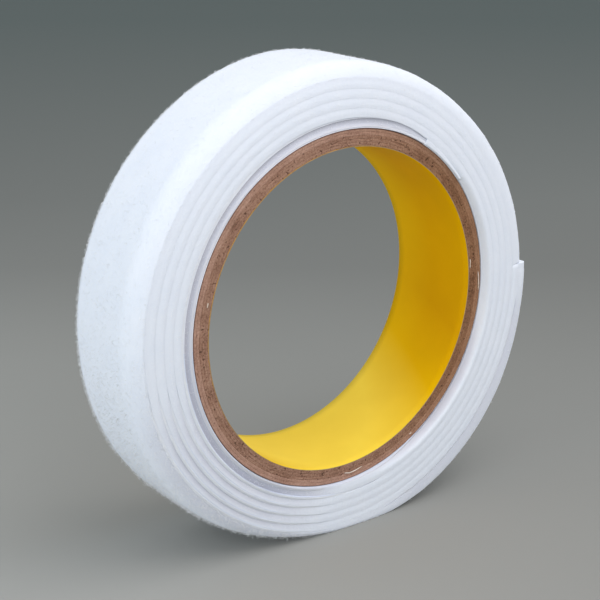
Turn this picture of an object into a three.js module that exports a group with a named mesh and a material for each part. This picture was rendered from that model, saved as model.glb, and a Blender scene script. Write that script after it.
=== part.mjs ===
// Hook and loop tape roll: self-adhesive loop tape wound on a spiral-wound paperboard core.
// Millimetres, +Z up. The roll stands on its rim with its axis along Y. Its near face looks
// towards -Y, and the tape's cut end lies on the right, towards +X.
// The origin is on the surface that the roll stands on, below the middle of its outline.
// Angles round the axis are in degrees from +X towards +Z.
import * as THREE from 'three';

const millimetre = 1;
const inch = 25.4 * millimetre;

// The core is cut to the tape's width
const tapeWidth = 1 * inch;
const coreWidth = tapeWidth;

// Core
const boreDiameter = 3 * inch;
const liningThickness = 0.2 * millimetre;
const plyThickness = 0.76 * millimetre;
const plyCount = 5;
const coreColumns = 60;

// The lining is one strip laid round at a slant, so its butt seam crosses the core's width
// at a slant too: from this column at the near edge back over this many at the far edge
const seamGap = 0.4 * millimetre;
const seamStartColumn = 38;
const seamSlantColumns = 11;

// Tape, from its inner side to its outer side
const linerThickness = 0.12 * millimetre;
const adhesiveThickness = 0.18 * millimetre;
const backingThickness = 0.45 * millimetre;
const freePileHeight = 2.9 * millimetre;

// The pile stands a little in from the backing's edges and its top edges are rounded off
const pileInset = 0.25 * millimetre;
const pileRounding = 0.6 * millimetre;
const pileShoulderShare = 0.6;

// Winding
const turnPitch = 2.12 * millimetre;
const turnClearance = 0.2 * millimetre;
const coreClearance = 0.15 * millimetre;
const tapeStartAngle = 58;
const tapeEndAngle = 2;
const wholeTurns = 5;
const columnAngle = 8;
const turnAngle = 360;

// Each turn climbs over the tape's start, from this many degrees before it to this many past
// it. The first one climbs sharply, and the others bridge the step.
const firstClimb = { lead: 20, trail: 17 };
const laterClimb = { lead: 24, trail: 46 };

// The winding sits askew: on this side it stands out past the core's near end by this much,
// and on the other side it is level with it
const skewDistance = 2.1 * millimetre;
const skewCentreAngle = 330;

// The cut end leans back: the pile's tips end before the liner does
const endLean = 1.3 * millimetre;

// The free pile of the last turn isn't even. Each change has its middle so many degrees of wrap
// before the cut end, and fades out over the half angle. From the cut end back, the pile is a
// little thin at the end, bulges, is pressed thin by the roll's own weight round its foot, and
// is a little full past the tape's start.
const pileChanges = [
  { beforeEnd: 4, halfAngle: 40, rise: -0.45 * millimetre },
  { beforeEnd: 50, halfAngle: 42, rise: 0.45 * millimetre },
  { beforeEnd: 100, halfAngle: 42, rise: -1.8 * millimetre },
  { beforeEnd: 270, halfAngle: 40, rise: 0.25 * millimetre },
];

// The roll stands on a flat that is pressed this deep into the pile
const standingFlatDepth = 0.5 * millimetre;

// Worked out from the sizes above
const boreRadius = boreDiameter / 2;
const liningOuterRadius = boreRadius + liningThickness;
const coreOuterRadius = liningOuterRadius + plyCount * plyThickness;
const wrapTotal = wholeTurns * turnAngle + THREE.MathUtils.euclideanModulo(tapeEndAngle - tapeStartAngle, turnAngle);
const fabricInset = linerThickness + adhesiveThickness;
const pileFoot = fabricInset + backingThickness;

const materials = {
  lining: new THREE.MeshStandardMaterial({ color: 0xf2c12e, roughness: 0.42, metalness: 0 }),
  paleBoard: new THREE.MeshStandardMaterial({ color: 0xa88a72, roughness: 0.95, metalness: 0 }),
  darkBoard: new THREE.MeshStandardMaterial({ color: 0x8c6b54, roughness: 0.95, metalness: 0 }),
  liner: new THREE.MeshStandardMaterial({ color: 0xf1f4f8, roughness: 0.35, metalness: 0 }),
  adhesive: new THREE.MeshStandardMaterial({ color: 0xd9dce2, roughness: 0.3, metalness: 0 }),
  fabric: new THREE.MeshStandardMaterial({ color: 0xe8edf6, roughness: 0.9, metalness: 0 }),
};

// A point at a radius and an angle round the axis, and at a distance along it
function pointAt(radius, angle, along) {
  const turned = THREE.MathUtils.degToRad(angle);
  return new THREE.Vector3(radius * Math.cos(turned), along, radius * Math.sin(turned));
}

// A closed body through a row of outlines, all with the same even number of points.
// An outline runs from the radius towards +Y, and its first point faces its last one, its
// second the one before the last, and so on, which is how the end faces are filled.
function bodyThrough(outlines) {
  const count = outlines[0].length;
  const positions = [];
  const indices = [];
  for (const outline of outlines) {
    for (const point of outline) {
      positions.push(point.x, point.y, point.z);
    }
  }
  for (let row = 0; row + 1 < outlines.length; row += 1) {
    for (let side = 0; side < count; side += 1) {
      const a = row * count + side;
      const b = row * count + ((side + 1) % count);
      const c = b + count;
      const d = a + count;
      indices.push(a, b, c, a, c, d);
    }
  }
  const last = (outlines.length - 1) * count;
  for (let pair = 0; pair + 1 < count / 2; pair += 1) {
    const facing = count - 1 - pair;
    indices.push(pair, facing, pair + 1, pair + 1, facing, facing - 1);
    indices.push(last + pair, last + pair + 1, last + facing);
    indices.push(last + pair + 1, last + facing - 1, last + facing);
  }
  const geometry = new THREE.BufferGeometry();
  geometry.setAttribute('position', new THREE.Float32BufferAttribute(positions, 3));
  geometry.setIndex(indices);
  geometry.computeVertexNormals();
  return geometry;
}

// Core

// One ply of board, a square-cut ring
function plyGeometry(innerRadius) {
  const outerRadius = innerRadius + plyThickness;
  const halfWidth = coreWidth / 2;
  const profile = [
    new THREE.Vector2(innerRadius, -halfWidth),
    new THREE.Vector2(outerRadius, -halfWidth),
    new THREE.Vector2(outerRadius, halfWidth),
    new THREE.Vector2(innerRadius, halfWidth),
    new THREE.Vector2(innerRadius, -halfWidth),
  ];
  return new THREE.LatheGeometry(profile, coreColumns);
}

// The printed lining paper, a slanted strip whose ends meet at the seam
function liningGeometry() {
  const columnTurn = turnAngle / coreColumns;
  const columnLength = 2 * boreRadius * Math.sin(THREE.MathUtils.degToRad(columnTurn / 2));
  const outlines = [];
  for (let column = 0; column <= coreColumns; column += 1) {
    const outer = [];
    const inner = [];
    for (let row = 0; row <= seamSlantColumns; row += 1) {
      const along = coreWidth * (row / seamSlantColumns) - coreWidth / 2;
      const angle = (seamStartColumn + column - row) * columnTurn;
      outer.push(pointAt(liningOuterRadius, angle, along));
      inner.push(pointAt(boreRadius, angle, along));
    }
    outlines.push([...outer, ...inner.reverse()]);
  }
  const drawBack = seamGap / 2 / columnLength;
  const lastColumn = outlines.length - 1;
  outlines[0].forEach((point, index) => point.lerp(outlines[1][index], drawBack));
  outlines[lastColumn].forEach((point, index) => point.lerp(outlines[lastColumn - 1][index], drawBack));
  return bodyThrough(outlines);
}

// Winding

// How many times the tape has climbed over its own start when it has wrapped this far
function climbsDone(wrap) {
  let climbs = 0;
  for (let turn = 1; turn <= wholeTurns + 1; turn += 1) {
    const start = turn * turnAngle;
    const { lead, trail } = turn === 1 ? firstClimb : laterClimb;
    climbs += THREE.MathUtils.smoothstep(wrap, start - lead, start + trail);
  }
  return climbs;
}

// The angle from a centre to the place that the tape has reached, between -180 and 180 degrees
function angleFrom(centreAngle, wrap) {
  const offset = tapeStartAngle + wrap - centreAngle;
  return THREE.MathUtils.euclideanModulo(offset + turnAngle / 2, turnAngle) - turnAngle / 2;
}

// How far the winding stands out towards the near end at this wrap
function skewAt(wrap) {
  const halfOffset = THREE.MathUtils.degToRad(angleFrom(skewCentreAngle, wrap) / 2);
  return skewDistance * Math.cos(halfOffset) ** 4;
}

// Height of the pile at this wrap where no other turn lies on it
function freeHeight(wrap) {
  let height = freePileHeight;
  for (const { beforeEnd, halfAngle, rise } of pileChanges) {
    const offMiddle = Math.abs(wrap - (wrapTotal - beforeEnd));
    if (offMiddle < halfAngle) {
      height += rise * Math.cos((offMiddle / halfAngle) * (Math.PI / 2)) ** 2;
    }
  }
  return height;
}

// Radius of the tape's inner face, which is the release liner's
function tapeRadius(wrap) {
  return coreOuterRadius + coreClearance + turnPitch * climbsDone(wrap);
}

// Radius of the pile's tips: under another turn the pile is pressed down to what room is left
function pileRadius(wrap) {
  const freeRadius = tapeRadius(wrap) + pileFoot + freeHeight(wrap);
  if (wrap + turnAngle > wrapTotal) {
    return freeRadius;
  }
  return Math.min(freeRadius, tapeRadius(wrap + turnAngle) - turnClearance);
}

// The wraps at which every layer has an outline: even steps, and the places in each turn
// that lie under the cut end
function wrapColumns() {
  const wraps = [];
  for (let wrap = 0; wrap < wrapTotal; wrap += columnAngle) {
    wraps.push(wrap);
  }
  for (let wrap = wrapTotal; wrap > 0; wrap -= turnAngle) {
    if (wraps.every((other) => Math.abs(other - wrap) > columnAngle / 8)) {
      wraps.push(wrap);
    }
  }
  return wraps.sort((a, b) => a - b);
}

// The axis lies so high that the flat is cut to its depth at the winding's lowest place
const reachesDown = wrapColumns().map((wrap) => -pointAt(pileRadius(wrap), tapeStartAngle + wrap, 0).z);
const axisHeight = Math.max(...reachesDown) - standingFlatDepth;

// One layer of the tape as an unbroken strip. The section gives, for a wrap, the points of
// its outline as a radius and a distance along the axis.
function layerOutlines(section) {
  return wrapColumns().map((wrap) => {
    const thickness = pileRadius(wrap) - tapeRadius(wrap);
    const isEnd = wrap === wrapTotal;
    return section(wrap).map(({ radius, along }) => {
      const lean = isEnd ? (endLean * (radius - tapeRadius(wrap))) / thickness : 0;
      const leanAngle = THREE.MathUtils.radToDeg(lean / radius);
      const point = pointAt(radius, tapeStartAngle + wrap - leanAngle, along - skewAt(wrap));
      point.z = Math.max(point.z, -axisHeight);
      return point;
    });
  });
}

// A plain layer from one depth in the tape to another
function flatSection(innerDepth, outerDepth) {
  const halfWidth = tapeWidth / 2;
  return (wrap) => {
    const innerRadius = tapeRadius(wrap) + innerDepth;
    const outerRadius = tapeRadius(wrap) + outerDepth;
    return [
      { radius: innerRadius, along: -halfWidth },
      { radius: outerRadius, along: -halfWidth },
      { radius: outerRadius, along: halfWidth },
      { radius: innerRadius, along: halfWidth },
    ];
  };
}

// The woven backing with its loop pile: a full-width ground, and a narrower rounded pile
function fabricSection(wrap) {
  const halfWidth = tapeWidth / 2;
  const groundRadius = tapeRadius(wrap) + fabricInset;
  const footRadius = tapeRadius(wrap) + pileFoot;
  const tipRadius = pileRadius(wrap);
  const shoulderRadius = THREE.MathUtils.lerp(footRadius, tipRadius, pileShoulderShare);
  const shoulder = halfWidth - pileInset;
  const crown = shoulder - pileRounding;
  return [
    { radius: groundRadius, along: -halfWidth },
    { radius: footRadius, along: -halfWidth },
    { radius: shoulderRadius, along: -shoulder },
    { radius: tipRadius, along: -crown },
    { radius: tipRadius, along: crown },
    { radius: shoulderRadius, along: shoulder },
    { radius: footRadius, along: halfWidth },
    { radius: groundRadius, along: halfWidth },
  ];
}

// The points of an outline, and those halfway along its sides
function outlineSamples(outline) {
  const middles = outline.map((point, side) => point.clone().lerp(outline[(side + 1) % outline.length], 0.5));
  return [...outline, ...middles];
}

// The least distance between points of a layer that lie in different turns, measured on its
// outlines and on those halfway between them
function leastGapToItself(outlines) {
  const stations = [];
  outlines.forEach((outline, index) => {
    stations.push(outlineSamples(outline));
    const next = outlines[index + 1];
    if (next) {
      stations.push(outlineSamples(outline.map((point, side) => point.clone().lerp(next[side], 0.5))));
    }
  });
  const stationsPerHalfTurn = Math.round(turnAngle / columnAngle);
  let least = Infinity;
  for (let first = 0; first < stations.length; first += 1) {
    for (let second = first + stationsPerHalfTurn; second < stations.length; second += 1) {
      for (const point of stations[first]) {
        for (const other of stations[second]) {
          least = Math.min(least, point.distanceTo(other));
        }
      }
    }
  }
  return least;
}

// Assembly

const roll = new THREE.Group();
roll.position.z = axisHeight;

function addPiece(name, geometry, material) {
  const mesh = new THREE.Mesh(geometry, material);
  mesh.name = name;
  roll.add(mesh);
}

addPiece('core_lining', liningGeometry(), materials.lining);
for (let ply = 0; ply < plyCount; ply += 1) {
  const isInnerHalf = ply < plyCount / 2;
  const board = isInnerHalf ? materials.darkBoard : materials.paleBoard;
  addPiece(`core_ply_${ply + 1}`, plyGeometry(liningOuterRadius + ply * plyThickness), board);
}

const layers = [
  { name: 'release_liner', section: flatSection(0, linerThickness), material: materials.liner },
  { name: 'adhesive_layer', section: flatSection(linerThickness, fabricInset), material: materials.adhesive },
  { name: 'loop_fabric', section: fabricSection, material: materials.fabric },
];
for (const { name, section, material } of layers) {
  const outlines = layerOutlines(section);
  addPiece(name, bodyThrough(outlines), material);
  console.log(`${name}: least gap to itself ${leastGapToItself(outlines).toFixed(2)} mm`);
}

// The cut end and the skew make the outline uneven about the core, so the roll moves to centre it
const outlineCentre = new THREE.Box3().setFromObject(roll).getCenter(new THREE.Vector3());
roll.position.x = -outlineCentre.x;
roll.position.y = -outlineCentre.y;

const group = new THREE.Group();
group.add(roll);

export default group;
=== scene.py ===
"""Looks for the hook and loop tape roll: a white loop tape wound on a lined paperboard core."""
import math

import bpy
import numpy as np
from mathutils import Matrix, Vector


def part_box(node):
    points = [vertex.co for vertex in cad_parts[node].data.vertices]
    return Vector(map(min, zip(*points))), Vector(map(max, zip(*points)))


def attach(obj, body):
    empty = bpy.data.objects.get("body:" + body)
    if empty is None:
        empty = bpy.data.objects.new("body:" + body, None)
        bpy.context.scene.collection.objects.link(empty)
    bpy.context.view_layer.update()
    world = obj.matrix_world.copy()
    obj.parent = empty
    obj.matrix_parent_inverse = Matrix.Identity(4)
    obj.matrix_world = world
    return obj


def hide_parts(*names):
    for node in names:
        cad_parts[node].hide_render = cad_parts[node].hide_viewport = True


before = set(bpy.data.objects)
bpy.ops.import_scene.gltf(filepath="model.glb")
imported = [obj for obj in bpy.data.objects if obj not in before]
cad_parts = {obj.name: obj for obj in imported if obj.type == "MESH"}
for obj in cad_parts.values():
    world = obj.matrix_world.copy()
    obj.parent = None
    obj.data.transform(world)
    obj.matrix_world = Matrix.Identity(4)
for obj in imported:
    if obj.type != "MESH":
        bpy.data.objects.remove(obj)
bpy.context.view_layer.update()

millimetre = 0.001
inch = 25.4 * millimetre
white = (1.0, 1.0, 1.0)
black = (0.0, 0.0, 0.0)

# Core
bore_radius = 1.5 * inch
core_width = 1 * inch
lining_thickness = 0.2 * millimetre
ply_thickness = 0.76 * millimetre
ply_count = 5
dark_ply_count = 3
core_outer_radius = bore_radius + lining_thickness + ply_count * ply_thickness
seam_gap = 0.4 * millimetre
seam_start_angle = 228
seam_slant_angle = 66

# Tape, from its inner side to its outer side
tape_width = 1 * inch
liner_thickness = 0.12 * millimetre
adhesive_thickness = 0.18 * millimetre
backing_thickness = 0.45 * millimetre
fabric_inset = liner_thickness + adhesive_thickness
pile_foot = fabric_inset + backing_thickness
free_pile_height = 2.9 * millimetre

# Winding
turn_pitch = 2.12 * millimetre
turn_clearance = 0.04 * millimetre
core_clearance = 0.15 * millimetre
tape_start_angle = 58
tape_end_angle = 2
whole_turns = 5
turn_angle = 360
first_climb = (20, 17)
later_climb = (24, 46)
skew_distance = 2.1 * millimetre
skew_centre_angle = 330
end_lean = 0.3 * millimetre
wrap_total = whole_turns * turn_angle + (tape_end_angle - tape_start_angle) % turn_angle
free_start = wrap_total - turn_angle

# Changes of the free pile's height: degrees before the cut end, half angle and rise
pile_changes = [
    (4, 40, -0.45 * millimetre),
    (50, 42, 0.45 * millimetre),
    (100, 42, -1.8 * millimetre),
    (270, 40, 0.25 * millimetre),
]

# Degrees over which forms change. Where there are two pairs, the form comes in over the first
# and goes out over the second. Those of low_left_recess are angles round the roll, and the
# others count along the tape from its start.
low_left_recess = ((180, 212), (238, 274))
end_recess = ((wrap_total - 84, wrap_total - 68), (wrap_total - 18, wrap_total - 6))
second_edge_shown = ((395, 440), (550, 600))
first_slope = ((215, 250), (335, 357))
first_band_end = (178, 216)
start_recess = (-5, 25)

# The core's middle, about which everything is laid out
core_box_low, core_box_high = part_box("core_ply_5")
core_middle = (core_box_low + core_box_high) / 2
core_centre = np.array(core_middle)

random = np.random.default_rng(7)


# Layout

def smooth_step(value, low, high):
    """Rises from 0 at low to 1 at high."""
    share = np.clip((value - low) / (high - low), 0, 1)
    return share * share * (3 - 2 * share)


def between(value, rise, fall):
    """Rises from 0 to 1 over the first pair of places and falls back over the second."""
    return smooth_step(value, *rise) * (1 - smooth_step(value, *fall))


def angle_from(centre_angle, wrap):
    """Degrees from a centre to the place that the tape has reached, between -180 and 180."""
    offset = tape_start_angle + wrap - centre_angle
    return (offset + turn_angle / 2) % turn_angle - turn_angle / 2


def climbs_done(wrap):
    """How many times the tape has climbed over its own start at this wrap."""
    climbs = 0
    for turn in range(1, whole_turns + 2):
        lead, trail = first_climb if turn == 1 else later_climb
        climbs = climbs + smooth_step(wrap, turn * turn_angle - lead, turn * turn_angle + trail)
    return climbs


def skew_at(wrap):
    """How far the winding stands out towards the near end."""
    return skew_distance * np.cos(np.radians(angle_from(skew_centre_angle, wrap) / 2)) ** 4


def tape_radius(wrap):
    """Radius of the release liner's inner face."""
    return core_outer_radius + core_clearance + turn_pitch * climbs_done(wrap)


def free_height(wrap):
    """Height of the pile where no other turn lies on it."""
    height = np.full(np.shape(wrap), free_pile_height)
    for before_end, half_angle, rise in pile_changes:
        off_middle = np.clip(np.abs(wrap - (wrap_total - before_end)) / half_angle, 0, 1)
        height += rise * np.cos(off_middle * math.pi / 2) ** 2
    return height


def pressed_height(wrap):
    """Height of the pile where the next turn lies on it."""
    room = tape_radius(wrap + turn_angle) - tape_radius(wrap) - pile_foot - turn_clearance
    return np.minimum(room, free_height(wrap))


def overflow_at(wrap):
    """How far the pile's sides swell out over the edges next to them, from 0 to 1. They do
    on most of the roll, but not low on the left, on the first turn nor shortly before the end."""
    angle = (tape_start_angle + wrap) % turn_angle
    recessed = between(angle, *low_left_recess)
    by_end = between(wrap, *end_recess)
    return (1 - recessed) * smooth_step(wrap, *first_band_end) * (1 - by_end)


def cover_at(wrap):
    """How far the tape's own edge is hidden by the pile that swells over it, from 0 to 1. On
    the second turn it shows, because the first turn's pile is drawn in."""
    return overflow_at(wrap) * (1 - between(wrap, *second_edge_shown))


def first_band_at(wrap):
    """1 on the first turn, whose pile is drawn in deeper than the others, and 0 past it."""
    return 1 - smooth_step(wrap, *first_band_end)


def recess_at(wrap):
    """How deep the first turn's pile is drawn in: not at the tape's start, fully past it."""
    return smooth_step(wrap, *start_recess)


def around_core(radius, angle, along):
    """Points from a radius, an angle in radians and a distance along the axis."""
    across = np.broadcast_to(along, np.broadcast(radius, angle).shape)
    return np.stack([radius * np.cos(angle), across, radius * np.sin(angle)], -1) + core_centre


def place(radius, wrap, along):
    """Points of the winding, from a radius, a wrap and a distance along the axis before skew."""
    return around_core(radius, np.radians(tape_start_angle + wrap), along - skew_at(wrap))


def waves(seed, first, second, shortest, longest, count=40):
    """A soft random field over two coordinates, about -1 to 1, made of plane waves."""
    source = np.random.default_rng(seed)
    field = np.zeros(np.broadcast(first, second).shape)
    usual_height = 0.7
    for _ in range(count):
        length = source.uniform(shortest, longest)
        heading = source.uniform(0, 2 * math.pi)
        phase = source.uniform(0, 2 * math.pi)
        distance = first * math.cos(heading) + second * math.sin(heading)
        field += np.sin(distance * (2 * math.pi / length) + phase)
    return field / math.sqrt(count) * usual_height


# Meshes

def add_mesh(name, vertices, faces, material):
    """A new object from points and faces."""
    mesh = bpy.data.meshes.new(name)
    mesh.from_pydata(np.asarray(vertices).tolist(), [], faces)
    mesh.validate()
    mesh.polygons.foreach_set("use_smooth", [True] * len(mesh.polygons))
    mesh.update()
    piece = bpy.data.objects.new(name, mesh)
    bpy.context.scene.collection.objects.link(piece)
    piece.data.materials.append(material)
    return piece


def grid_faces(rows, count, closed_rows=False):
    """Quads between neighbouring rows of closed outlines."""
    row = np.arange(rows if closed_rows else rows - 1)[:, None]
    first = row * count
    second = (row + 1) % rows * count
    side = np.arange(count)[None, :]
    after = (side + 1) % count
    quads = np.stack([first + side, first + after, second + after, second + side], -1)
    return quads.reshape(-1, 4).tolist()


def add_strip(name, outlines, material):
    """A closed body through a row of outlines, with filled ends."""
    rows, count = outlines.shape[:2]
    faces = grid_faces(rows, count)
    faces.append(list(range(count - 1, -1, -1)))
    faces.append([(rows - 1) * count + side for side in range(count)])
    piece = add_mesh(name, outlines.reshape(-1, 3), faces, material)
    for polygon in piece.data.polygons:
        if len(polygon.vertices) > 4:
            polygon.use_smooth = False
    return piece


def add_tubes(name, paths, thickness, material, sides=3):
    """Fine fibres: a many-sided tube along each path, thinner at both ends."""
    tip_share = 0.35
    no_length = 1e-12
    fibres, steps = paths.shape[:2]
    ahead = np.gradient(paths, axis=1)
    ahead /= np.linalg.norm(ahead, axis=2, keepdims=True) + no_length
    reference = random.normal(size=(fibres, 1, 3))
    first = np.cross(ahead, reference)
    first /= np.linalg.norm(first, axis=2, keepdims=True) + no_length
    second = np.cross(ahead, first)
    taper = np.ones(steps)
    taper[0] = taper[-1] = tip_share
    turns = (np.arange(sides) * (2 * math.pi / sides))[:, None]
    ring = first[:, :, None] * np.cos(turns) + second[:, :, None] * np.sin(turns)
    points = paths[:, :, None] + ring * (thickness[:, None, None, None] / 2) * taper[:, None, None]
    walls = np.array(grid_faces(steps, sides))
    first_cap = list(range(sides - 1, -1, -1))
    last_cap = [(steps - 1) * sides + side for side in range(sides)]
    shifts = np.arange(fibres)[:, None, None] * (steps * sides)
    wall_faces = (walls[None] + shifts).reshape(-1, 4).tolist()
    cap_faces = (np.array([first_cap, last_cap])[None] + shifts).reshape(-1, sides).tolist()
    return add_mesh(name, points.reshape(-1, 3), wall_faces + cap_faces, material)


# Materials

def new_material(name, **values):
    """A material with one main shader, whose plain values are set on its own sockets."""
    material = bpy.data.materials.new(name)
    material.use_nodes = True
    shader = material.node_tree.nodes["Principled BSDF"]
    for socket, value in values.items():
        shader.inputs[socket.replace("_", " ")].default_value = value
    return material, material.node_tree, shader


def add_node(tree, kind, links=None, **settings):
    """A node with its properties, its input values by name, and its links by name or place."""
    node = tree.nodes.new(kind)
    inputs = settings.pop("inputs", {})
    for name, value in settings.items():
        setattr(node, name, value)
    for name, value in inputs.items():
        node.inputs[name].default_value = value
    for name, source in (links or {}).items():
        tree.links.new(source, node.inputs[name])
    return node


def add_ramp(tree, source, stops):
    """A colour ramp with stops of place and colour."""
    ramp = add_node(tree, "ShaderNodeValToRGB", {"Fac": source})
    elements = ramp.color_ramp.elements
    while len(elements) < len(stops):
        elements.new(0.5)
    for element, (position, colour) in zip(elements, stops):
        element.position = position
        element.color = (*colour, 1)
    return ramp.outputs["Color"]


def add_noise(tree, vector, scale, detail=3, roughness=0.5):
    """Noise over a vector."""
    inputs = {"Scale": scale, "Detail": detail, "Roughness": roughness}
    return add_node(tree, "ShaderNodeTexNoise", {"Vector": vector}, inputs=inputs).outputs["Fac"]


def add_math(tree, operation, first, second=None):
    """One sum on values or sockets."""
    node = tree.nodes.new("ShaderNodeMath")
    node.operation = operation
    for input_place, source in enumerate((first, second)):
        if source is None:
            continue
        if isinstance(source, (int, float)):
            node.inputs[input_place].default_value = source
        else:
            tree.links.new(source, node.inputs[input_place])
    return node.outputs[0]


def weighted_sum(tree, *terms):
    """The sum of several sockets, each times its weight."""
    products = [add_math(tree, "MULTIPLY", source, weight) for source, weight in terms]
    total = products[0]
    for product in products[1:]:
        total = add_math(tree, "ADD", total, product)
    return total


def multiply_colours(tree, first, second):
    """One colour times another."""
    return add_node(tree, "ShaderNodeVectorMath", {0: first, 1: second}, operation="MULTIPLY").outputs[0]


def add_bump(tree, height, strength, distance):
    """A bump node over a height."""
    inputs = {"Strength": strength, "Distance": distance}
    return add_node(tree, "ShaderNodeBump", {"Height": height}, inputs=inputs).outputs["Normal"]


def mix_colours(tree, share, first, second):
    """A colour mixed by a share with a second one, which is the same all over."""
    node = add_node(tree, "ShaderNodeMix", data_type="RGBA")
    sockets = {}
    for name, kind in (("Factor", "VALUE"), ("A", "RGBA"), ("B", "RGBA")):
        sockets[name] = next(each for each in node.inputs if each.name == name and each.type == kind)
    tree.links.new(share, sockets["Factor"])
    tree.links.new(first, sockets["A"])
    sockets["B"].default_value = (*second, 1)
    return next(each for each in node.outputs if each.type == "RGBA")


def connect(tree, shader, colour, normal=None):
    """Links a colour, and a bump where there is one, to the main shader."""
    tree.links.new(colour, shader.inputs["Base Color"])
    if normal is not None:
        tree.links.new(normal, shader.inputs["Normal"])


def object_place(tree):
    """A point's own place."""
    return add_node(tree, "ShaderNodeTexCoord").outputs["Object"]


def core_coordinates(tree):
    """Place, radius, angle and distance along the axis, of a point about the core's middle."""
    shifted = add_node(tree, "ShaderNodeVectorMath", {0: object_place(tree)}, operation="SUBTRACT")
    shifted.inputs[1].default_value = core_middle
    parts = add_node(tree, "ShaderNodeSeparateXYZ", {"Vector": shifted.outputs[0]})
    x, y, z = (parts.outputs[axis] for axis in "XYZ")
    radius = add_math(tree, "SQRT", weighted_sum(tree, (x, x), (z, z)))
    angle = add_math(tree, "ARCTAN2", z, x)
    return shifted.outputs[0], radius, angle, y


def add_painted_recess_shade(tree, colour):
    """The colour with painted shade where the tape's edge is drawn in: the deeper, the darker and greyer.
    """
    # The drawn_in attribute holds how much painted shade each point gets.
    depth = add_node(tree, "ShaderNodeAttribute", attribute_name="drawn_in").outputs["Fac"]
    shade_tints = [(0.0, white), (0.2, (0.86, 0.84, 0.85)), (0.85, (0.63, 0.60, 0.615))]
    return multiply_colours(tree, colour, add_ramp(tree, depth, shade_tints))


# Light that spreads a little inside the white layers
soft_inside = {
    "Subsurface_Weight": 0.15, "Subsurface_Scale": 0.6 * millimetre, "Subsurface_Radius": white,
}


def pile_material():
    """Napped loop pile: bluish white, softly mottled, with the fine texture of loops and painted shade
    where it lies deep.
    """
    material, tree, shader = new_material(
        "loop_pile", Roughness=0.95, Specular_IOR_Level=0.15, Sheen_Weight=0.15, Sheen_Roughness=0.6,
        **soft_inside,
    )
    vector = object_place(tree)
    broad = add_noise(tree, vector, scale=160, detail=4, roughness=0.6)
    fine = add_noise(tree, vector, scale=1500, detail=3, roughness=0.6)
    tones = [(0.3, (0.82, 0.875, 0.97)), (0.5, (0.845, 0.895, 0.98)), (0.7, (0.87, 0.915, 0.99))]
    colour = add_ramp(tree, weighted_sum(tree, (broad, 0.6), (fine, 0.4)), tones)
    bump = add_bump(tree, fine, strength=0.25, distance=0.3 * millimetre)
    connect(tree, shader, add_painted_recess_shade(tree, colour), bump)
    return material


def backing_material():
    """Woven ground of the tape, with painted shade where it lies deep."""
    material, tree, shader = new_material(
        "woven_backing", Roughness=0.7, Specular_IOR_Level=0.3, **soft_inside,
    )
    rib_count = 900
    weft_rate = 9000
    vector, _, angle, along = core_coordinates(tree)
    rib = add_math(tree, "SINE", add_math(tree, "MULTIPLY", angle, rib_count))
    weft = add_math(tree, "SINE", add_math(tree, "MULTIPLY", along, weft_rate))
    weave = add_math(tree, "MULTIPLY", rib, weft)
    tones = [(0.3, (0.86, 0.90, 0.975)), (0.7, (0.91, 0.94, 0.99))]
    colour = add_ramp(tree, add_noise(tree, vector, scale=700), tones)
    bump = add_bump(tree, weave, strength=0.35, distance=0.2 * millimetre)
    connect(tree, shader, add_painted_recess_shade(tree, colour), bump)
    return material


def liner_material():
    """Smooth white release film, with painted bluish shade over the lower half of the roll."""
    material, tree, shader = new_material(
        "release_film", Roughness=0.45, Specular_IOR_Level=0.35, **soft_inside,
    )
    vector, _, angle, _ = core_coordinates(tree)
    grain = add_noise(tree, vector, scale=260)
    colour = add_ramp(tree, grain, [(0.3, (0.93, 0.94, 0.99)), (0.7, (0.97, 0.97, 1.0))])
    # Painted bluish shade, by angle round the core, over the lower half of the roll.
    turn_share = add_math(tree, "ADD", add_math(tree, "MULTIPLY", angle, 0.5 / math.pi), 0.5)
    painted_shade_tones = [(0.25, (0.80, 0.86, 0.96)), (0.42, (0.78, 0.85, 0.96)), (0.49, (0.97, 0.98, 1.0))]
    bump = add_bump(tree, grain, strength=0.08, distance=0.4 * millimetre)
    connect(tree, shader, multiply_colours(tree, colour, add_ramp(tree, turn_share, painted_shade_tones)), bump)
    return material


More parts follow.
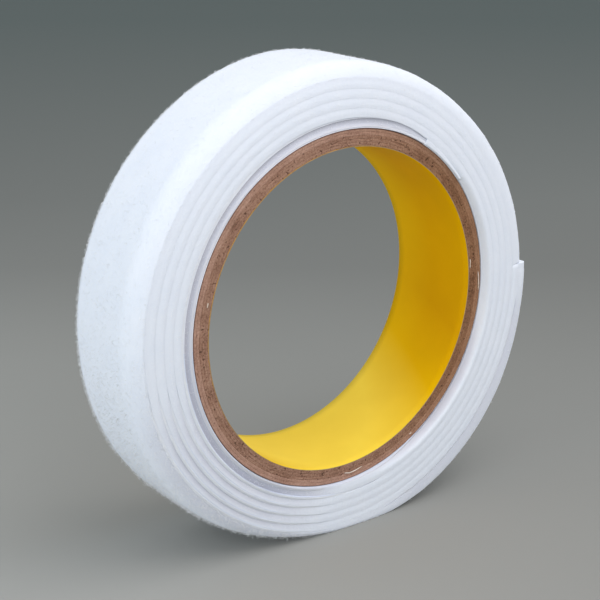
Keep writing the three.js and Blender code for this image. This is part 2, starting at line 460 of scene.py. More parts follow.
def board_material(name, deep, base, light, speck_share):
    """Raw cut kraft board: fibres that run round the core, dark specks, painted shade that makes it darker
    and yellower on the right, and a dark outermost line."""
    material, tree, shader = new_material(name, Roughness=0.93, Specular_IOR_Level=0.2)
    rim_width = 0.22 * millimetre
    rim_fade = 0.2 * millimetre
    vector, radius, angle, along = core_coordinates(tree)
    stretched = {
        "X": add_math(tree, "MULTIPLY", angle, 4.2),
        "Y": add_math(tree, "MULTIPLY", radius, 900),
        "Z": add_math(tree, "MULTIPLY", along, 160),
    }
    streak = add_node(tree, "ShaderNodeCombineXYZ", stretched).outputs[0]
    fibres = add_noise(tree, streak, scale=3.5, detail=5, roughness=0.65)
    grain = add_noise(tree, vector, scale=2200, detail=3, roughness=0.7)
    cloud = add_noise(tree, vector, scale=260, detail=3, roughness=0.6)
    tone = weighted_sum(tree, (fibres, 0.2), (grain, 0.5), (cloud, 0.3))
    colour = add_ramp(tree, tone, [(0.36, deep), (0.5, base), (0.64, light)])
    flecks = add_noise(tree, vector, scale=1100, detail=2, roughness=0.6)
    specks = add_ramp(tree, flecks, [(speck_share, white), (speck_share + 0.04, black)])
    colour = mix_colours(tree, specks, colour, tuple(channel * 0.7 for channel in deep))
    # Painted shade: the board is darker and yellower towards the right.
    rightness = add_math(tree, "MAXIMUM", add_math(tree, "COSINE", angle), 0.0)
    painted_right_shade = add_ramp(tree, rightness, [(0.0, white), (0.8, (0.80, 0.71, 0.54))])
    colour = multiply_colours(tree, colour, painted_right_shade)
    past_rim = add_math(tree, "SUBTRACT", radius, core_outer_radius - rim_width)
    outward = add_math(tree, "MULTIPLY", past_rim, 1 / rim_fade)
    rim = add_ramp(tree, outward, [(0.0, white), (0.9, (0.5, 0.46, 0.46))])
    colour = multiply_colours(tree, colour, rim)
    height = weighted_sum(tree, (grain, 1.0), (fibres, 0.7))
    connect(tree, shader, colour, add_bump(tree, height, strength=0.7, distance=0.25 * millimetre))
    return material


def lining_material():
    """Yellow paper with painted light and shade, brighter low down and towards the far end, and left
    without any print.
    """
    material, tree, shader = new_material("yellow_lining", Roughness=0.6, Specular_IOR_Level=0.05)
    full_height = 0.35
    height_range = 1.35
    painted_lighting_along = 8.0
    far_light_strength = 1.25
    vector, _, angle, along = core_coordinates(tree)
    # Painted light and shade: darker orange high up and on the right, pale yellow with a painted whitish
    # sheen low down.
    below = add_math(tree, "SUBTRACT", full_height, add_math(tree, "SINE", angle))
    painted_lighting = weighted_sum(tree, (below, 1 / height_range), (along, painted_lighting_along))
    tones = [
        (0.0, (0.88, 0.49, 0.0)), (0.42, (0.74, 0.39, 0.0)), (0.68, (0.82, 0.48, 0.0)),
        (0.92, (1.0, 0.745, 0.078)),
    ]
    colour = add_ramp(tree, painted_lighting, tones)
    # Painted light towards the far end, where the colour is not already lit.
    farness = add_math(tree, "MULTIPLY", add_math(tree, "MAXIMUM", along, 0.0), far_light_strength / core_width)
    unlit_share = add_math(tree, "MAXIMUM", add_math(tree, "SUBTRACT", 1.0, painted_lighting), 0.0)
    far_lit_share = add_math(tree, "MULTIPLY", farness, unlit_share)
    colour = mix_colours(tree, far_lit_share, colour, (1.0, 0.68, 0.01))
    cloud = add_noise(tree, vector, scale=90)
    shade = add_ramp(tree, cloud, [(0.3, (0.95, 0.94, 0.9)), (0.7, white)])
    grain = add_noise(tree, vector, scale=500)
    bump = add_bump(tree, grain, strength=0.05, distance=0.4 * millimetre)
    connect(tree, shader, multiply_colours(tree, colour, shade), bump)
    return material


def mottled_material(name, scale, detail, stops, with_painted_shade=False, **values):
    """A plain surface whose colour varies a little, and which gets painted shade where it lies deep when
    asked.
    """
    material, tree, shader = new_material(name, **values)
    colour = add_ramp(tree, add_noise(tree, object_place(tree), scale, detail), stops)
    connect(tree, shader, add_painted_recess_shade(tree, colour) if with_painted_shade else colour)
    return material


pile_look = pile_material()
fibre_look = mottled_material(
    "loop_fibres", 900, 2, [(0.35, (0.94, 0.97, 1.0)), (0.65, white)],
    Roughness=0.35, Specular_IOR_Level=0.8, Sheen_Weight=1.0, Sheen_Roughness=0.5,
)
backing_look = backing_material()
liner_look = liner_material()
# The adhesive gets painted shade where it lies deep in the tape's edge.
adhesive_look = mottled_material(
    "adhesive", 800, 3, [(0.3, (0.85, 0.89, 0.97)), (0.7, (0.89, 0.925, 0.985))], with_painted_shade=True,
    Roughness=0.35, Specular_IOR_Level=0.4,
)
lining_look = lining_material()
edge_look = mottled_material(
    "paper_edge", 900, 3, [(0.3, (0.30, 0.20, 0.12)), (0.7, (0.42, 0.30, 0.19))],
    Roughness=0.85, Specular_IOR_Level=0.25,
)
curl_look = mottled_material(
    "paper_curls", 1500, 2, [(0.3, (0.75, 0.62, 0.5)), (0.7, (0.95, 0.87, 0.78))],
    Roughness=0.8, Specular_IOR_Level=0.3,
)
inner_board_look = board_material(
    "inner_board", (0.17, 0.085, 0.055), (0.36, 0.20, 0.135), (0.50, 0.31, 0.22), speck_share=0.34,
)
outer_board_look = board_material(
    "outer_board", (0.30, 0.165, 0.115), (0.46, 0.27, 0.195), (0.58, 0.37, 0.28), speck_share=0.29,
)


# Core

half_core = core_width / 2
core_columns = 288
core_angles = np.arange(core_columns) * (2 * math.pi / core_columns)
ply_corner = 0.06 * millimetre
cut_points = 5
cut_depths = [depth * millimetre for depth in (0.06, 0.10, 0.10, 0.06, 0.06)]
cut_wave_lengths = (0.5 * millimetre, 2.5 * millimetre)
lining_columns = 300
lining_rows = 12
lining_clearance = 0.01 * millimetre
lining_edge_facing = 0.7


def add_ply(name, inner_radius, material, cut_depth):
    """One ply of board: a square-cut ring whose cut faces are uneven."""
    outer_radius = inner_radius + ply_thickness
    across = np.linspace(inner_radius + ply_corner, outer_radius - ply_corner, cut_points)
    side_radii = np.concatenate([[inner_radius], across, [outer_radius]])
    corner_along = [ply_corner - half_core]
    side_along = np.array(corner_along + [-half_core] * cut_points + corner_along)
    radii = np.concatenate([side_radii, side_radii[::-1]])
    along = np.concatenate([side_along, -side_along])
    angle = core_angles[:, None]
    seed = int(inner_radius * 1e6)
    uneven = waves(seed, angle * outer_radius, radii[None, :], *cut_wave_lengths)
    on_cut = (np.abs(np.abs(along) - half_core) < ply_corner * 1.5)[None, :]
    depth = np.where(on_cut, -np.sign(along)[None, :] * np.abs(uneven) * cut_depth, 0)
    points = around_core(radii, angle, along + depth)
    faces = grid_faces(*points.shape[:2], closed_rows=True)
    return add_mesh(name, points.reshape(-1, 3), faces, material)


def add_core():
    """The plies, each a ring of board."""
    for ply in range(ply_count):
        inner = bore_radius + lining_thickness + ply * ply_thickness
        dark = ply < dark_ply_count
        look = inner_board_look if dark else outer_board_look
        piece = add_ply(f"board_ply_{ply + 1}", inner, look, cut_depths[ply])
        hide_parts(f"core_ply_{ply + 1}")
        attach(piece, "root")


def add_lining():
    """The lining, a slanted strip whose ends meet at a seam, with bare cut edges."""
    gap_angle = math.degrees(seam_gap / 2 / bore_radius)
    travel = np.linspace(gap_angle, turn_angle - gap_angle, lining_columns)[:, None]
    share = np.linspace(0, 1, lining_rows)
    outer = bore_radius + (lining_thickness - lining_clearance)
    radii = np.concatenate([np.full(lining_rows, outer), np.full(lining_rows, bore_radius)])
    shares = np.concatenate([share, share[::-1]])
    angle = np.radians(seam_start_angle + travel - shares[None, :] * seam_slant_angle)
    points = around_core(radii, angle, shares * core_width - half_core)
    piece = add_strip("lining_sheet", points, lining_look)
    piece.data.materials.append(edge_look)
    for polygon in piece.data.polygons:
        if abs(polygon.normal.y) > lining_edge_facing or len(polygon.vertices) > 4:
            polygon.material_index = 1
            polygon.use_smooth = False
    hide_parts("core_lining")
    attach(piece, "root")


# Forms that change round the roll, at places in degrees: widths of the free pile's rounded
# sides, how much they slope instead of bulging, how far the outer turns stand back at the near
# end, how far the pile bulges between two turns, how long its loops are and how dense
round_stops = [0, 40, 60, 90, 130, 200, 240, 262, 285, 330, 360]
near_shoulders = [1.0, 1.2, 2.2, 4.0, 5.4, 5.4, 3.8, 2.0, 0.8, 0.7, 1.0]
far_shoulders = [1.0, 1.0, 1.6, 2.4, 2.8, 2.8, 2.4, 2.0, 1.2, 1.0, 1.0]
near_slopes = [0.0, 0.1, 0.4, 0.8, 1.0, 1.0, 0.7, 0.3, 0.0, 0.0, 0.0]
far_slopes = [0.0, 0.1, 0.2, 0.4, 0.5, 0.5, 0.4, 0.2, 0.0, 0.0, 0.0]
set_backs = [0.1, 0.3, 0.7, 1.0, 1.3, 1.3, 0.8, 0.4, 0.1, 0.0, 0.05]
crest_heights = [0.16, 0.07, 0.055, 0.055, 0.06, 0.05, 0.05, 0.05, 0.055, 0.07, 0.16]
fuzz_lengths = [0.6, 0.6, 0.6, 0.7, 0.8, 1.2, 1.5, 1.3, 0.9, 0.6, 0.6]
fuzz_shares = [0.3, 0.3, 0.3, 0.3, 0.3, 0.6, 0.9, 1.0, 0.6, 0.4, 0.3]


def round_value(wraps, values):
    """A value that changes round the roll, at the place that the tape has reached."""
    return np.interp((tape_start_angle + wraps) % turn_angle, round_stops, values)


# Thin layers of the winding

half_width = tape_width / 2
wrap_step = 1.5
layer_corner = 0.02 * millimetre
layer_edge_facing = 0.3
covered_inset = 0.25 * millimetre
liner_inset = 0.01 * millimetre
adhesive_inset = 0.02 * millimetre
backing_inset = 0.22 * millimetre
end_lean_angle = 5
start_lean_angle = 4
edge_wander = 0.05 * millimetre
wander_per_degree = 0.9 * millimetre
wander_lengths = (5 * millimetre, 60 * millimetre)
no_set_back_radius = 43.0 * millimetre
full_set_back_radius = 53.6 * millimetre
inner_slope_height = 1.5 * millimetre
inner_slope_share = 0.95
first_edge_shade = 0.26


def set_back(wraps, radii):
    """How far the near side stands back at a radius."""
    share = (radii - no_set_back_radius) / (full_set_back_radius - no_set_back_radius)
    return round_value(wraps, set_backs) * millimetre * np.clip(share, 0, 1.1) ** 2


def inner_slope(wraps, above_liner):
    """How far the near side of the first turn slopes back to the core's end, where the winding
    stands out in front of it, at a height above the release liner's inner face."""
    shown = between(wraps, *first_slope)
    share = np.clip(1 - above_liner / inner_slope_height, 0, 1)
    return shown * skew_at(wraps) * inner_slope_share * share ** 1.6


def layer_points(wraps, radii, along):
    """Outline points of a layer, whose cut end leans back, and which stands flat on the floor.
    Where the free pile starts, it leans back with the cut end that stands beside it."""
    base = tape_radius(wraps)[:, None]
    reach = smooth_step(wraps, wrap_total - end_lean_angle, wrap_total)[:, None]
    start_base = tape_radius(wraps + turn_angle)[:, None]
    past_start = smooth_step(wraps, free_start, free_start + start_lean_angle)
    start_reach = ((wraps >= free_start) * (1 - past_start))[:, None]
    raised = reach * (radii - base) + start_reach * np.maximum(radii - start_base, 0)
    lean = np.degrees(end_lean * raised / (pile_foot + free_pile_height) / radii)
    points = place(radii, wraps[:, None] - lean, along)
    points[..., 2] = np.maximum(points[..., 2], 0)
    return points


def set_painted_shade(piece, values):
    """Tells the material, from 0 to 1, how much painted shade each point gets for lying deep in the tape's
    edge.
    """
    piece.data.attributes.new("drawn_in", "FLOAT", "POINT").data.foreach_set("value", values.ravel())


def flat_layer(name, seed, inner_depth, outer_depth, inset, outer_inset, material):
    """A plain layer from one depth in the tape to another, with rounded edges. Its outer side
    is drawn in a little where the pile doesn't swell over it, and its first turn gets painted shade."""
    wraps = np.append(np.arange(0, wrap_total, wrap_step), wrap_total)
    base = tape_radius(wraps)[:, None]
    depths = [inner_depth, inner_depth + layer_corner, outer_depth - layer_corner, outer_depth]
    depth = np.array(depths + depths[::-1])
    corners = np.array([layer_corner, 0, 0, layer_corner])
    drawn_in = outer_inset * (1 - overflow_at(wraps)[:, None]) * np.array([0, 0, 1, 1])
    edge = half_width - inset - corners - cover_at(wraps)[:, None] * covered_inset - drawn_in
    near_edge = edge - set_back(wraps[:, None], base) - inner_slope(wraps[:, None], 0)
    along = np.concatenate([-near_edge, edge[:, ::-1]], 1)
    distance = wraps[:, None] * wander_per_degree
    wander = waves(seed, distance, 0 * base, *wander_lengths, 16) * edge_wander
    piece = add_strip(name, layer_points(wraps, base + depth, along + wander), material)
    for polygon in piece.data.polygons:
        if abs(polygon.normal.y) > layer_edge_facing:
            polygon.use_smooth = False
    # Painted shade: the first turn's edges are darkened, where they lie drawn in.
    shade = first_edge_shade * first_band_at(wraps) * recess_at(wraps)
    set_painted_shade(piece, np.repeat(shade[:, None], along.shape[1], 1))
    return piece


# Pressed pile

side_shares = np.array([0, 0.06, 0.14, 0.26, 0.4, 0.55, 0.7, 0.82, 0.9, 0.96, 1])
lip_inner = 0.28 * millimetre
first_lip_inner = 0.72 * millimetre
first_lip_end = (370, 400)
lip_reach = 0.27 * millimetre
lip_outer = fabric_inset + turn_clearance + lip_reach
lip_clearance = 0.03 * millimetre
lip_corner = 0.012 * millimetre
lip_depth = 0.2 * millimetre
tuck_share = 0.45
last_crest_share = 0.75
last_crest_rise = (free_start - turn_angle - 20, free_start - turn_angle + 20)
last_tuck_loss = 0.8
far_overflow = 0.3
valley_depth = 0.05 * millimetre
valley_foot_depth = 0.30 * millimetre
band_depth = 0.1 * millimetre
band_recess = 0.1 * millimetre
band_recess_rise = 0.65 * millimetre
start_notch_wrap = 3
start_notch_half = 3
start_notch_depth = 0.9 * millimetre
inside_depth = 1.1 * millimetre
inside_margin = 0.1 * millimetre
ripple_radius = 48 * millimetre
ripple_height = 0.02 * millimetre
ripple_lengths = (1.2 * millimetre, 6 * millimetre)
full_shade_depth = 1.0 * millimetre
slope_shade_share = 0.45
slope_shade_end = (255, 300)
fringe_wraps = np.linspace(-20, 0.4, 30)
fringe_clearance = 0.04 * millimetre
fringe_reach = 0.3 * millimetre
fringe_stand = 0.02 * millimetre
fringe_shares = np.array([[0, 0.3, 0.7, 1]])


def lip_inner_at(wraps):
    """How far the pile's inner lip reaches down: to the core where the tape lies on the core."""
    return first_lip_inner + (lip_inner - first_lip_inner) * smooth_step(wraps, *first_lip_end)


def pressed_side(wraps, side):
    """Radius above the pile's foot and inset of one side of the pressed pile. Where the pile
    swells out, it hangs over the edges of the layers next to it and meets the next pile."""
    share = side_shares[None, :]
    overflow = overflow_at(wraps)[:, None]
    if side > 0:
        overflow = far_overflow + (1 - far_overflow) * overflow
    band = first_band_at(wraps)[:, None]
    height = pressed_height(wraps)[:, None]
    valley = valley_depth + valley_foot_depth * (1 - share)
    recess = (band_recess + band_recess_rise * share ** 0.4) * recess_at(wraps)[:, None]
    by_start = np.exp(-((wraps[:, None] - start_notch_wrap) / start_notch_half) ** 2)
    drawn_in = band_depth + recess + start_notch_depth * by_start * share ** 2
    inner_cover = cover_at(wraps)[:, None]
    outer_cover = cover_at(wraps + turn_angle)[:, None]
    last = smooth_step(wraps, *last_crest_rise)[:, None]
    crest = np.sin(share * math.pi) ** 2
    crest = crest + (1 - crest) * np.clip(share * 2 - 1, 0, 1) * last * last_crest_share
    bulge = round_value(wraps, crest_heights)[:, None] * millimetre
    tuck = bulge * tuck_share * ((share == 0) + (share == 1) * (1 - last_tuck_loss * last))
    swollen = tuck - lip_clearance - bulge * crest
    inset = swollen * overflow + (1 - overflow) * (valley * (1 - band) + drawn_in * band)
    inner_reach = lip_inner_at(wraps)[:, None] * inner_cover
    rise = height * share - inner_reach * (1 - share) + lip_outer * outer_cover * share
    if side < 0:
        inset = inset + set_back(wraps[:, None], tape_radius(wraps)[:, None] + pile_foot + rise)
        inset = inset + inner_slope(wraps[:, None], pile_foot + rise)
    inner_back = inset[:, :1] + lip_depth
    outer_back = inset[:, -1:] + lip_depth
    inside = np.maximum(inside_depth, inner_back + inside_margin)
    foot = 0 * height
    first_corner = rise[:, :1] - lip_corner
    last_corner = rise[:, -1:] + lip_corner
    rises = [foot, foot, first_corner, first_corner, rise, last_corner, last_corner, height, height]
    insets = [
        inside, inner_back, inner_back, inset[:, :1], inset, inset[:, -1:], outer_back, outer_back, inside,
    ]
    return np.concatenate(rises, 1), np.concatenate(insets, 1)


def add_start_fringe():
    """Pile squeezed out past the tape's start, which fills the gap before it."""
    inner = np.full((len(fringe_wraps), 1), core_outer_radius + fringe_clearance)
    outer = tape_radius(fringe_wraps + turn_angle)[:, None] + fringe_reach
    side_radii = inner + (outer - inner) * fringe_shares
    edge = half_width + fringe_stand + 0 * side_radii
    radii = np.concatenate([side_radii, side_radii[:, ::-1]], 1)
    along = np.concatenate([-edge, edge], 1)
    return add_strip("start_fringe", layer_points(fringe_wraps, radii, along), pile_look)


def add_pressed_pile():
    """The pile of every turn that has another turn on it, with painted shade where it lies deep."""
    wraps = np.append(np.arange(0, free_start, wrap_step), free_start)
    near_rise, near_inset = pressed_side(wraps, -1)
    far_rise, far_inset = pressed_side(wraps, 1)
    distance = wraps[:, None] * math.radians(1) * ripple_radius
    ripple = waves(21, distance, near_rise, *ripple_lengths) * ripple_height
    near_along = near_inset + ripple - half_width
    far_along = half_width - far_inset - ripple
    along = np.concatenate([near_along, far_along[:, ::-1]], 1)
    base = tape_radius(wraps)[:, None] + pile_foot
    radii = base + np.concatenate([near_rise, far_rise[:, ::-1]], 1)
    piece = add_strip("pressed_pile", layer_points(wraps, radii, along), pile_look)
    near_points = near_rise.shape[1]
    near_radii = radii[:, :near_points]
    # Painted shade, darker the deeper the pile lies in the tape's edge, and less on the first turn's slope
    # back to the core.
    unshaded = 1 - slope_shade_share * (1 - smooth_step(wraps, *slope_shade_end))[:, None]
    sloped = inner_slope(wraps[:, None], near_radii - tape_radius(wraps)[:, None]) * unshaded
    depth = half_width - np.abs(along)
    depth[:, :near_points] -= set_back(wraps[:, None], near_radii) + sloped
    set_painted_shade(piece, np.clip(depth / full_shade_depth, 0, 1))
    return piece


# Free pile

shoulder_points = 14
crown_points = 44
free_side_shade = 0.16
crown_lift = 0.4 * millimetre
crown_arch = 0.15 * millimetre
free_side_inset = 0.25 * millimetre
start_rise_angle = 0.2
start_rise_rows = [0, 0.07, 0.14, start_rise_angle]
free_first_wrap = free_start + 0.5
free_wrap_step = 0.35
lump_radius = 55 * millimetre

# Lumps of the crown: seed, shortest and longest wave, number of waves and height
lumps = [
    (11, 0.7 * millimetre, 2 * millimetre, 60, 0.02 * millimetre),
    (12, 3 * millimetre, 12 * millimetre, 30, 0.04 * millimetre),
]


def free_pile_rise(wraps):
    """Height of the free pile, which rises steeply past the cut end that lies on it."""
    start_height = pressed_height(np.array([free_start]))[0]
    rise = smooth_step(wraps, free_start, free_start + start_rise_angle)
    return start_height * (1 - rise) + (free_height(wraps) + crown_lift) * rise


def arch_fall(along):
    """How much lower the crown is towards its edges."""
    return crown_arch * np.clip(np.abs(along) / half_width, 0, 1) ** 4


def shoulder_width(wraps, near):
    """Width of the free pile's rounded side."""
    widths = np.where(near, round_value(wraps, near_shoulders), round_value(wraps, far_shoulders))
    return widths * millimetre


def shoulder_place(wraps, shares, side):
    """Rise above the foot and inset of the free pile's rounded side, from its foot at share 0
    to its crown at share 1, and the way its surface faces: shares outward and sideways."""
    near = side < 0
    width = shoulder_width(wraps, near)
    slope = np.where(near, round_value(wraps, near_slopes), round_value(wraps, far_slopes))
    across = np.clip(shares, 0.02, 1) ** 2
    power = 2 + 0.6 * slope
    rounding = 0.5 + 0.5 * slope
    full_rise = free_pile_rise(wraps)
    fullness = 1 - (1 - across) ** power
    rise = full_rise * fullness ** rounding
    steepness = full_rise * rounding * fullness ** (rounding - 1) * power * (1 - across) ** (power - 1)
    length = np.hypot(width, steepness)
    inset = width * across + np.where(near, set_back(wraps, tape_radius(wraps) + pile_foot), 0)
    return rise, inset, width / length, steepness / length


def free_section(wraps, side):
    """Rise above the foot and inset of one side of the free pile, from its foot to its crown."""
    shares = np.linspace(0, 1, shoulder_points)[None, :]
    overflow = overflow_at(wraps)[:, None]
    rise, inset, _, _ = shoulder_place(wraps[:, None], shares, side)
    bulge = round_value(wraps, crest_heights)[:, None] * millimetre
    swollen = lip_clearance + bulge * last_crest_share
    inset = inset + (free_side_inset * (1 - overflow) - swollen * overflow) * (1 - shares)
    rise = rise - lip_inner * cover_at(wraps)[:, None] * np.clip(1 - shares * 9, 0, 1)
    inside = inside_depth + inset[:, :1]
    back = inset[:, :1] + lip_depth
    foot = 0 * inside
    corner = rise[:, :1] - lip_corner
    rises = np.concatenate([foot, foot, corner, corner, rise], 1)
    insets = np.concatenate([inside, back, back, inset[:, :1], inset], 1)
    return rises, insets


def add_free_pile():
    """The pile of the last turn, with soft shoulders, a slightly lumpy crown and painted shade low on its
    near side.
    """
    first_wraps = free_start + np.array(start_rise_rows)
    later_wraps = np.arange(free_first_wrap, wrap_total, free_wrap_step)
    wraps = np.concatenate([first_wraps, later_wraps, [wrap_total]])
    near_rise, near_inset = free_section(wraps, -1)
    far_rise, far_inset = free_section(wraps, 1)
    height = near_rise[:, -1:]
    share = np.linspace(0, 1, crown_points + 2)[None, 1:-1]
    near_edge = near_inset[:, -1:] - half_width
    far_edge = half_width - far_inset[:, -1:]
    crown = near_edge + (far_edge - near_edge) * share
    along = np.concatenate([near_inset - half_width, crown, (half_width - far_inset)[:, ::-1]], 1)
    rise = np.concatenate([near_rise, np.repeat(height, crown_points, 1), far_rise[:, ::-1]], 1)
    distance = wraps[:, None] * math.radians(1) * lump_radius
    lift = -arch_fall(along)
    for seed, shortest, longest, count, lump_height in lumps:
        lift = lift + waves(seed, distance, along, shortest, longest, count) * lump_height
    loose = np.clip(rise / height, 0, 1) ** 2
    radii = tape_radius(wraps)[:, None] + pile_foot + rise + lift * loose
    piece = add_strip("free_pile", layer_points(wraps, radii, along), pile_look)
    # Painted shade on the near side's foot, where the pile doesn't swell over the edges.
    shown = (1 - overflow_at(wraps))[:, None] * (along < 0) * (1 - loose)
    set_painted_shade(piece, free_side_shade * shown)
    return piece


liner_piece = flat_layer("release_film_strip", 18, 0, liner_thickness, liner_inset, 0, liner_look)
adhesive_piece = flat_layer(
    "adhesive_strip", 14, liner_thickness, fabric_inset, adhesive_inset, 0, adhesive_look,
)
backing_piece = flat_layer(
    "woven_backing_strip", 19, fabric_inset, pile_foot, 0, backing_inset, backing_look,
)
pressed_pile = add_pressed_pile()
free_pile = add_free_pile()
start_fringe = add_start_fringe()


# Loops of fibre

loop_steps = 4
loop_scatter = 0.35
loop_wobble = 0.04 * millimetre
loop_root = 0.12 * millimetre
floor_gap = 0.03 * millimetre
spread_margin = 0.6 * millimetre
loop_widths = (0.25 * millimetre, 0.8 * millimetre)
edge_loop_widths = (0.2 * millimetre, 0.5 * millimetre)
edge_loop_heights = (0.08 * millimetre, 0.22 * millimetre)
edge_loop_thicknesses = (0.025 * millimetre, 0.035 * millimetre)
edge_loop_inset = 0.15 * millimetre
edge_loop_overflow = 0.2 * millimetre
edge_first_wrap = 4
edge_share_range = (0.1, 0.9)


def add_loops(name, wraps, rise, along, outward, sideways, width, height, thickness):
    """Small loops of fibre that stand on the pile's surface. Outward and sideways are the
    shares of the surface's direction away from the axis and along it."""
    count = len(wraps)
    angle = np.radians(tape_start_angle + wraps)
    foot = place(tape_radius(wraps) + pile_foot + rise, wraps, along)
    radial = np.stack([np.cos(angle), np.zeros(count), np.sin(angle)], -1)
    tangent = np.stack([-np.sin(angle), np.zeros(count), np.cos(angle)], -1)
    axial = np.array([[0, 1, 0]])
    rising = radial * outward[:, None] + axial * sideways[:, None]
    rising += random.normal(scale=loop_scatter, size=(count, 3))
    rising /= np.linalg.norm(rising, axis=1, keepdims=True)
    heading = random.uniform(0, 2 * math.pi, count)[:, None]
    leaning = tangent * np.cos(heading) + np.cross(rising, tangent) * np.sin(heading)
    turn = np.linspace(0, math.pi, loop_steps)[:, None]
    across = -np.cos(turn) * width[:, None, None] / 2 * leaning[:, None]
    up = np.sin(turn) * height[:, None, None] * rising[:, None]
    wobble = random.normal(scale=loop_wobble, size=(count, loop_steps, 3))
    paths = foot[:, None] + across + up + wobble - rising[:, None] * loop_root
    paths[..., 2] = np.maximum(paths[..., 2], floor_gap)
    return add_tubes(name, paths, thickness, fibre_look)


def add_free_fibres(name, count, first_wrap, last_wrap, lengths, thicknesses, lowest_spread=-1):
    """Loops all over the free pile, out to its rounded sides, or from one place across it."""
    wraps = random.uniform(first_wrap, last_wrap, count)
    wraps = wraps[random.uniform(0, 1, count) < round_value(wraps, fuzz_shares)]
    count = len(wraps)
    spread = random.uniform(lowest_spread, 1, count)
    side = np.sign(spread)
    from_edge = (1 - np.abs(spread)) * half_width
    shares = np.clip(from_edge / (shoulder_width(wraps, side < 0) + spread_margin), 0, 1)
    rise, inset, outward, sideways = shoulder_place(wraps, shares, side)
    along = side * (half_width - np.where(shares < 1, inset, from_edge))
    rise_share = (rise / free_pile_rise(wraps)) ** 2
    rise = rise - arch_fall(along) * rise_share
    low, high = lengths
    loop_width = random.uniform(*loop_widths, count)
    length = low + (high - low) * random.uniform(0, 1, count) ** 1.5
    thickness = random.uniform(*thicknesses, count)
    return add_loops(
        name, wraps, rise, along, outward, side * sideways, loop_width,
        length * round_value(wraps, fuzz_lengths), thickness,
    )


def add_edge_fibres(name, count, side):
    """Short loops at the edges of the pressed pile, between the turns."""
    wraps = random.uniform(edge_first_wrap, free_start, count)
    rise = pressed_height(wraps) * random.uniform(*edge_share_range, count)
    inset = edge_loop_inset - edge_loop_overflow * overflow_at(wraps)
    if side < 0:
        inset = inset + inner_slope(wraps, pile_foot + rise)
    loop_width = random.uniform(*edge_loop_widths, count)
    loop_height = random.uniform(*edge_loop_heights, count)
    thickness = random.uniform(*edge_loop_thicknesses, count)
    return add_loops(
        name, wraps, rise, side * (half_width - inset), np.zeros(count), np.full(count, side),
        loop_width, loop_height, thickness,
    )


fibre_zones = 4
fibres_per_zone = 8000
zone_edges = np.linspace(free_start + 1.5, wrap_total - 0.6, fibre_zones + 1)
stray_count = 1800
stray_ends = (wrap_total - 182, wrap_total - 108)
outline_count = 9000
outline_ends = (wrap_total - 282, wrap_total - 150)
edge_count = 3000
free_fibres = []
for zone in range(fibre_zones):
    free_fibres.append(add_free_fibres(
        f"pile_fibres_{zone + 1}", fibres_per_zone, *zone_edges[zone:zone + 2],
        lengths=(0.15 * millimetre, 0.65 * millimetre),
        thicknesses=(0.03 * millimetre, 0.05 * millimetre),
    ))
stray_fibres = add_free_fibres(
    "stray_fibres", stray_count, *stray_ends, lengths=(0.4 * millimetre, 1.0 * millimetre),
    thicknesses=(0.03 * millimetre, 0.045 * millimetre),
)
outline_fibres = add_free_fibres(
    "outline_fibres", outline_count, *outline_ends, lengths=(0.25 * millimetre, 0.8 * millimetre),
    thicknesses=(0.035 * millimetre, 0.05 * millimetre), lowest_spread=0.74,
)
near_fibres = add_edge_fibres("near_edge_fibres", edge_count, -1)
far_fibres = add_edge_fibres("far_edge_fibres", edge_count, 1)


# Curls of paper on the core's near face: radius in millimetres and degrees of their points
curl_lines = [
    [(38.76, 8.0), (38.60, 6.4), (38.63, 4.6)],
    [(41.30, 2.5), (41.42, -1.0), (41.64, -4.3)],
    [(40.24, 269.4), (40.62, 271.6), (40.54, 274.2), (40.33, 277.3)],
    [(39.42, 165.3), (39.50, 166.1), (39.44, 166.9)],
    [(40.90, 299.2), (40.96, 299.7), (40.90, 300.2)],
]
curl_steps = 7
curl_thickness = 0.24 * millimetre
curl_foot = 0.04 * millimetre
curl_height = 0.10 * millimetre


def add_curls():
    """Small pale curls that the cut left standing on the board."""
    paths = []
    for line in curl_lines:
        radii, angles = np.array(line).T
        steps = np.linspace(0, len(line) - 1, curl_steps)
        radius = np.interp(steps, np.arange(len(line)), radii) * millimetre
        angle = np.radians(np.interp(steps, np.arange(len(line)), angles))
        height = half_core + curl_foot + curl_height * np.sin(np.linspace(0, math.pi, curl_steps))
        paths.append(around_core(radius, angle, -height))
    thickness = np.full(len(paths), curl_thickness)
    piece = add_tubes("paper_curls", np.array(paths), thickness, curl_look, sides=5)
    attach(piece, "root")


add_core()
add_lining()
add_curls()

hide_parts("release_liner")
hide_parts("adhesive_layer")
fabric_pieces = [backing_piece, pressed_pile, free_pile, start_fringe]
for piece in fabric_pieces:
    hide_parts("loop_fabric")
slots = {liner_piece: "release_liner", adhesive_piece: "adhesive"}
for piece in [*fabric_pieces, *free_fibres, stray_fibres, outline_fibres, near_fibres, far_fibres]:
    slots[piece] = "loop_fabric"
for piece, slot in slots.items():
    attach(piece, "root")


# Floor

view_azimuth = math.radians(-37.72)
floor_corners = [(-3, -3, 0), (3, -3, 0), (3, 6, 0), (-3, 6, 0)]
floor_ramp_start = -0.1
floor_ramp_length = 1.2
painted_side_light_slope = -2.3
painted_side_light_reach = 3.0
darkest_painted_side_light = 0.8
palest_painted_side_light = 1.25


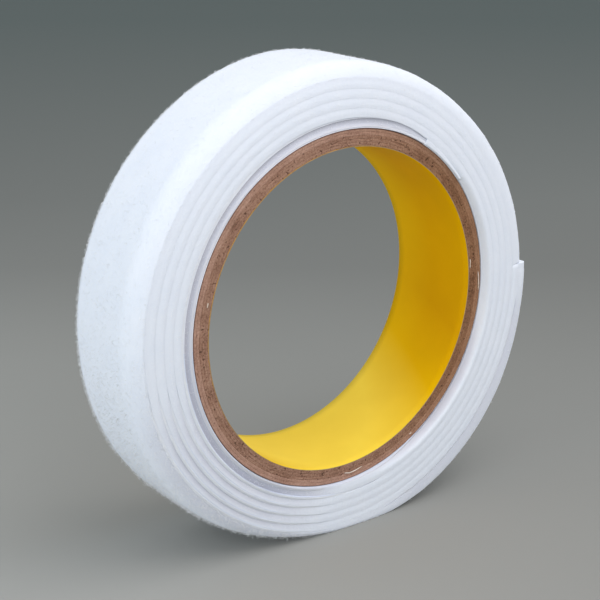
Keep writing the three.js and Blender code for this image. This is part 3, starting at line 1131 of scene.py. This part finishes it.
def add_floor():
    """A grey floor with painted light: paler near the camera, and there darker on its right than on its
    left.
    """
    mesh = bpy.data.meshes.new("floor")
    mesh.from_pydata(floor_corners, [], [(0, 1, 2, 3)])
    floor = bpy.data.objects.new("floor", mesh)
    bpy.context.scene.collection.objects.link(floor)
    look, tree, shader = new_material("floor", Roughness=0.9, Specular_IOR_Level=0.1)
    parts = add_node(tree, "ShaderNodeSeparateXYZ", {"Vector": object_place(tree)}).outputs
    sine = math.sin(view_azimuth)
    cosine = math.cos(view_azimuth)
    into_picture = weighted_sum(tree, (parts["Y"], cosine), (parts["X"], -sine))
    across_picture = weighted_sum(tree, (parts["X"], cosine), (parts["Y"], sine))
    past_start = add_math(tree, "ADD", into_picture, -floor_ramp_start)
    ramp_place = add_math(tree, "MULTIPLY", past_start, 1 / floor_ramp_length)
    # Painted light falloff: paler near the camera, darker far away.
    colour = add_ramp(tree, ramp_place, [
        (0.05, (0.345, 0.347, 0.326)), (0.167, (0.292, 0.297, 0.279)),
        (0.25, (0.232, 0.238, 0.224)), (0.8, (0.165, 0.194, 0.184)),
    ])
    # Painted light across the near floor: paler on the left, darker on the right.
    farness = add_math(tree, "MULTIPLY", ramp_place, painted_side_light_reach)
    nearness = add_math(tree, "MAXIMUM", add_math(tree, "SUBTRACT", 1.0, farness), 0.0)
    sloped = add_math(tree, "MULTIPLY", across_picture, painted_side_light_slope)
    tone = add_math(tree, "ADD", add_math(tree, "MULTIPLY", sloped, nearness), 1.0)
    tone = add_math(tree, "MAXIMUM", tone, darkest_painted_side_light)
    tone = add_math(tree, "MINIMUM", tone, palest_painted_side_light)
    toned = add_node(tree, "ShaderNodeVectorMath", {0: colour, "Scale": tone}, operation="SCALE")
    connect(tree, shader, toned.outputs[0])
    mesh.materials.append(look)


add_floor()


# Light

def add_area_light(name, azimuth, elevation, distance, size, power, colour):
    """A soft square lamp aimed at the core's middle. Azimuth 0 is straight before the near
    face, and positive azimuths are towards +X."""
    lamp = bpy.data.lights.new(name, "AREA")
    lamp.shape = "SQUARE"
    lamp.size = size
    lamp.energy = power
    lamp.color = colour
    turned = math.radians(azimuth)
    raised = math.radians(elevation)
    away = Vector((
        math.sin(turned) * math.cos(raised), -math.cos(turned) * math.cos(raised), math.sin(raised),
    ))
    holder = bpy.data.objects.new(name, lamp)
    holder.location = Vector(core_middle) + away * distance
    holder.rotation_euler = (-away).to_track_quat("-Z", "Y").to_euler()
    bpy.context.scene.collection.objects.link(holder)


pale_light = (1.0, 0.955, 0.965)
cool_light = (0.9, 0.95, 1.0)
world_light = (0.91, 0.955, 1.0, 1)
world_strength = 0.6

# Lamps: azimuth and elevation in degrees, distance and size in metres, power and colour
lamps = [
    ("key_light", 15, 60, 0.5, 0.45, 0.68, pale_light),
    ("left_light", -82, 1, 0.5, 0.45, 1.42, cool_light),
    ("near_front_light", -15, 38, 0.32, 0.25, 0.125, pale_light),
    ("low_front_light", -5, 4, 0.4, 0.2, 0.05, cool_light),
    ("right_light", 50, 50, 0.5, 0.45, 0.74, pale_light),
]
for lamp_row in lamps:
    add_area_light(*lamp_row)

world = bpy.data.worlds.new("studio")
world.use_nodes = True
background = world.node_tree.nodes["Background"]
background.inputs["Color"].default_value = world_light
background.inputs["Strength"].default_value = world_strength
bpy.context.scene.world = world
bpy.context.scene.view_settings.view_transform = "Standard"


# Camera

view_elevation = math.radians(18.58)
view_distance = 346.58 * millimetre
view_right_shift = -2.99 * millimetre
view_up_shift = -0.52 * millimetre
sensor_width = 36
picture_width = 600
focal_pixels = 1478.2

back = Vector((
    math.sin(view_azimuth) * math.cos(view_elevation),
    -math.cos(view_azimuth) * math.cos(view_elevation),
    math.sin(view_elevation),
))
right = Vector((math.cos(view_azimuth), math.sin(view_azimuth), 0))
up = back.cross(right)
camera_data = bpy.data.cameras.new("camera")
camera_data.sensor_width = sensor_width
camera_data.lens = sensor_width * focal_pixels / picture_width
camera = bpy.data.objects.new("camera", camera_data)
position = core_middle + back * view_distance + right * view_right_shift + up * view_up_shift
camera.matrix_world = Matrix.Translation(position) @ Matrix((right, up, back)).transposed().to_4x4()
bpy.context.scene.collection.objects.link(camera)
bpy.context.scene.camera = camera
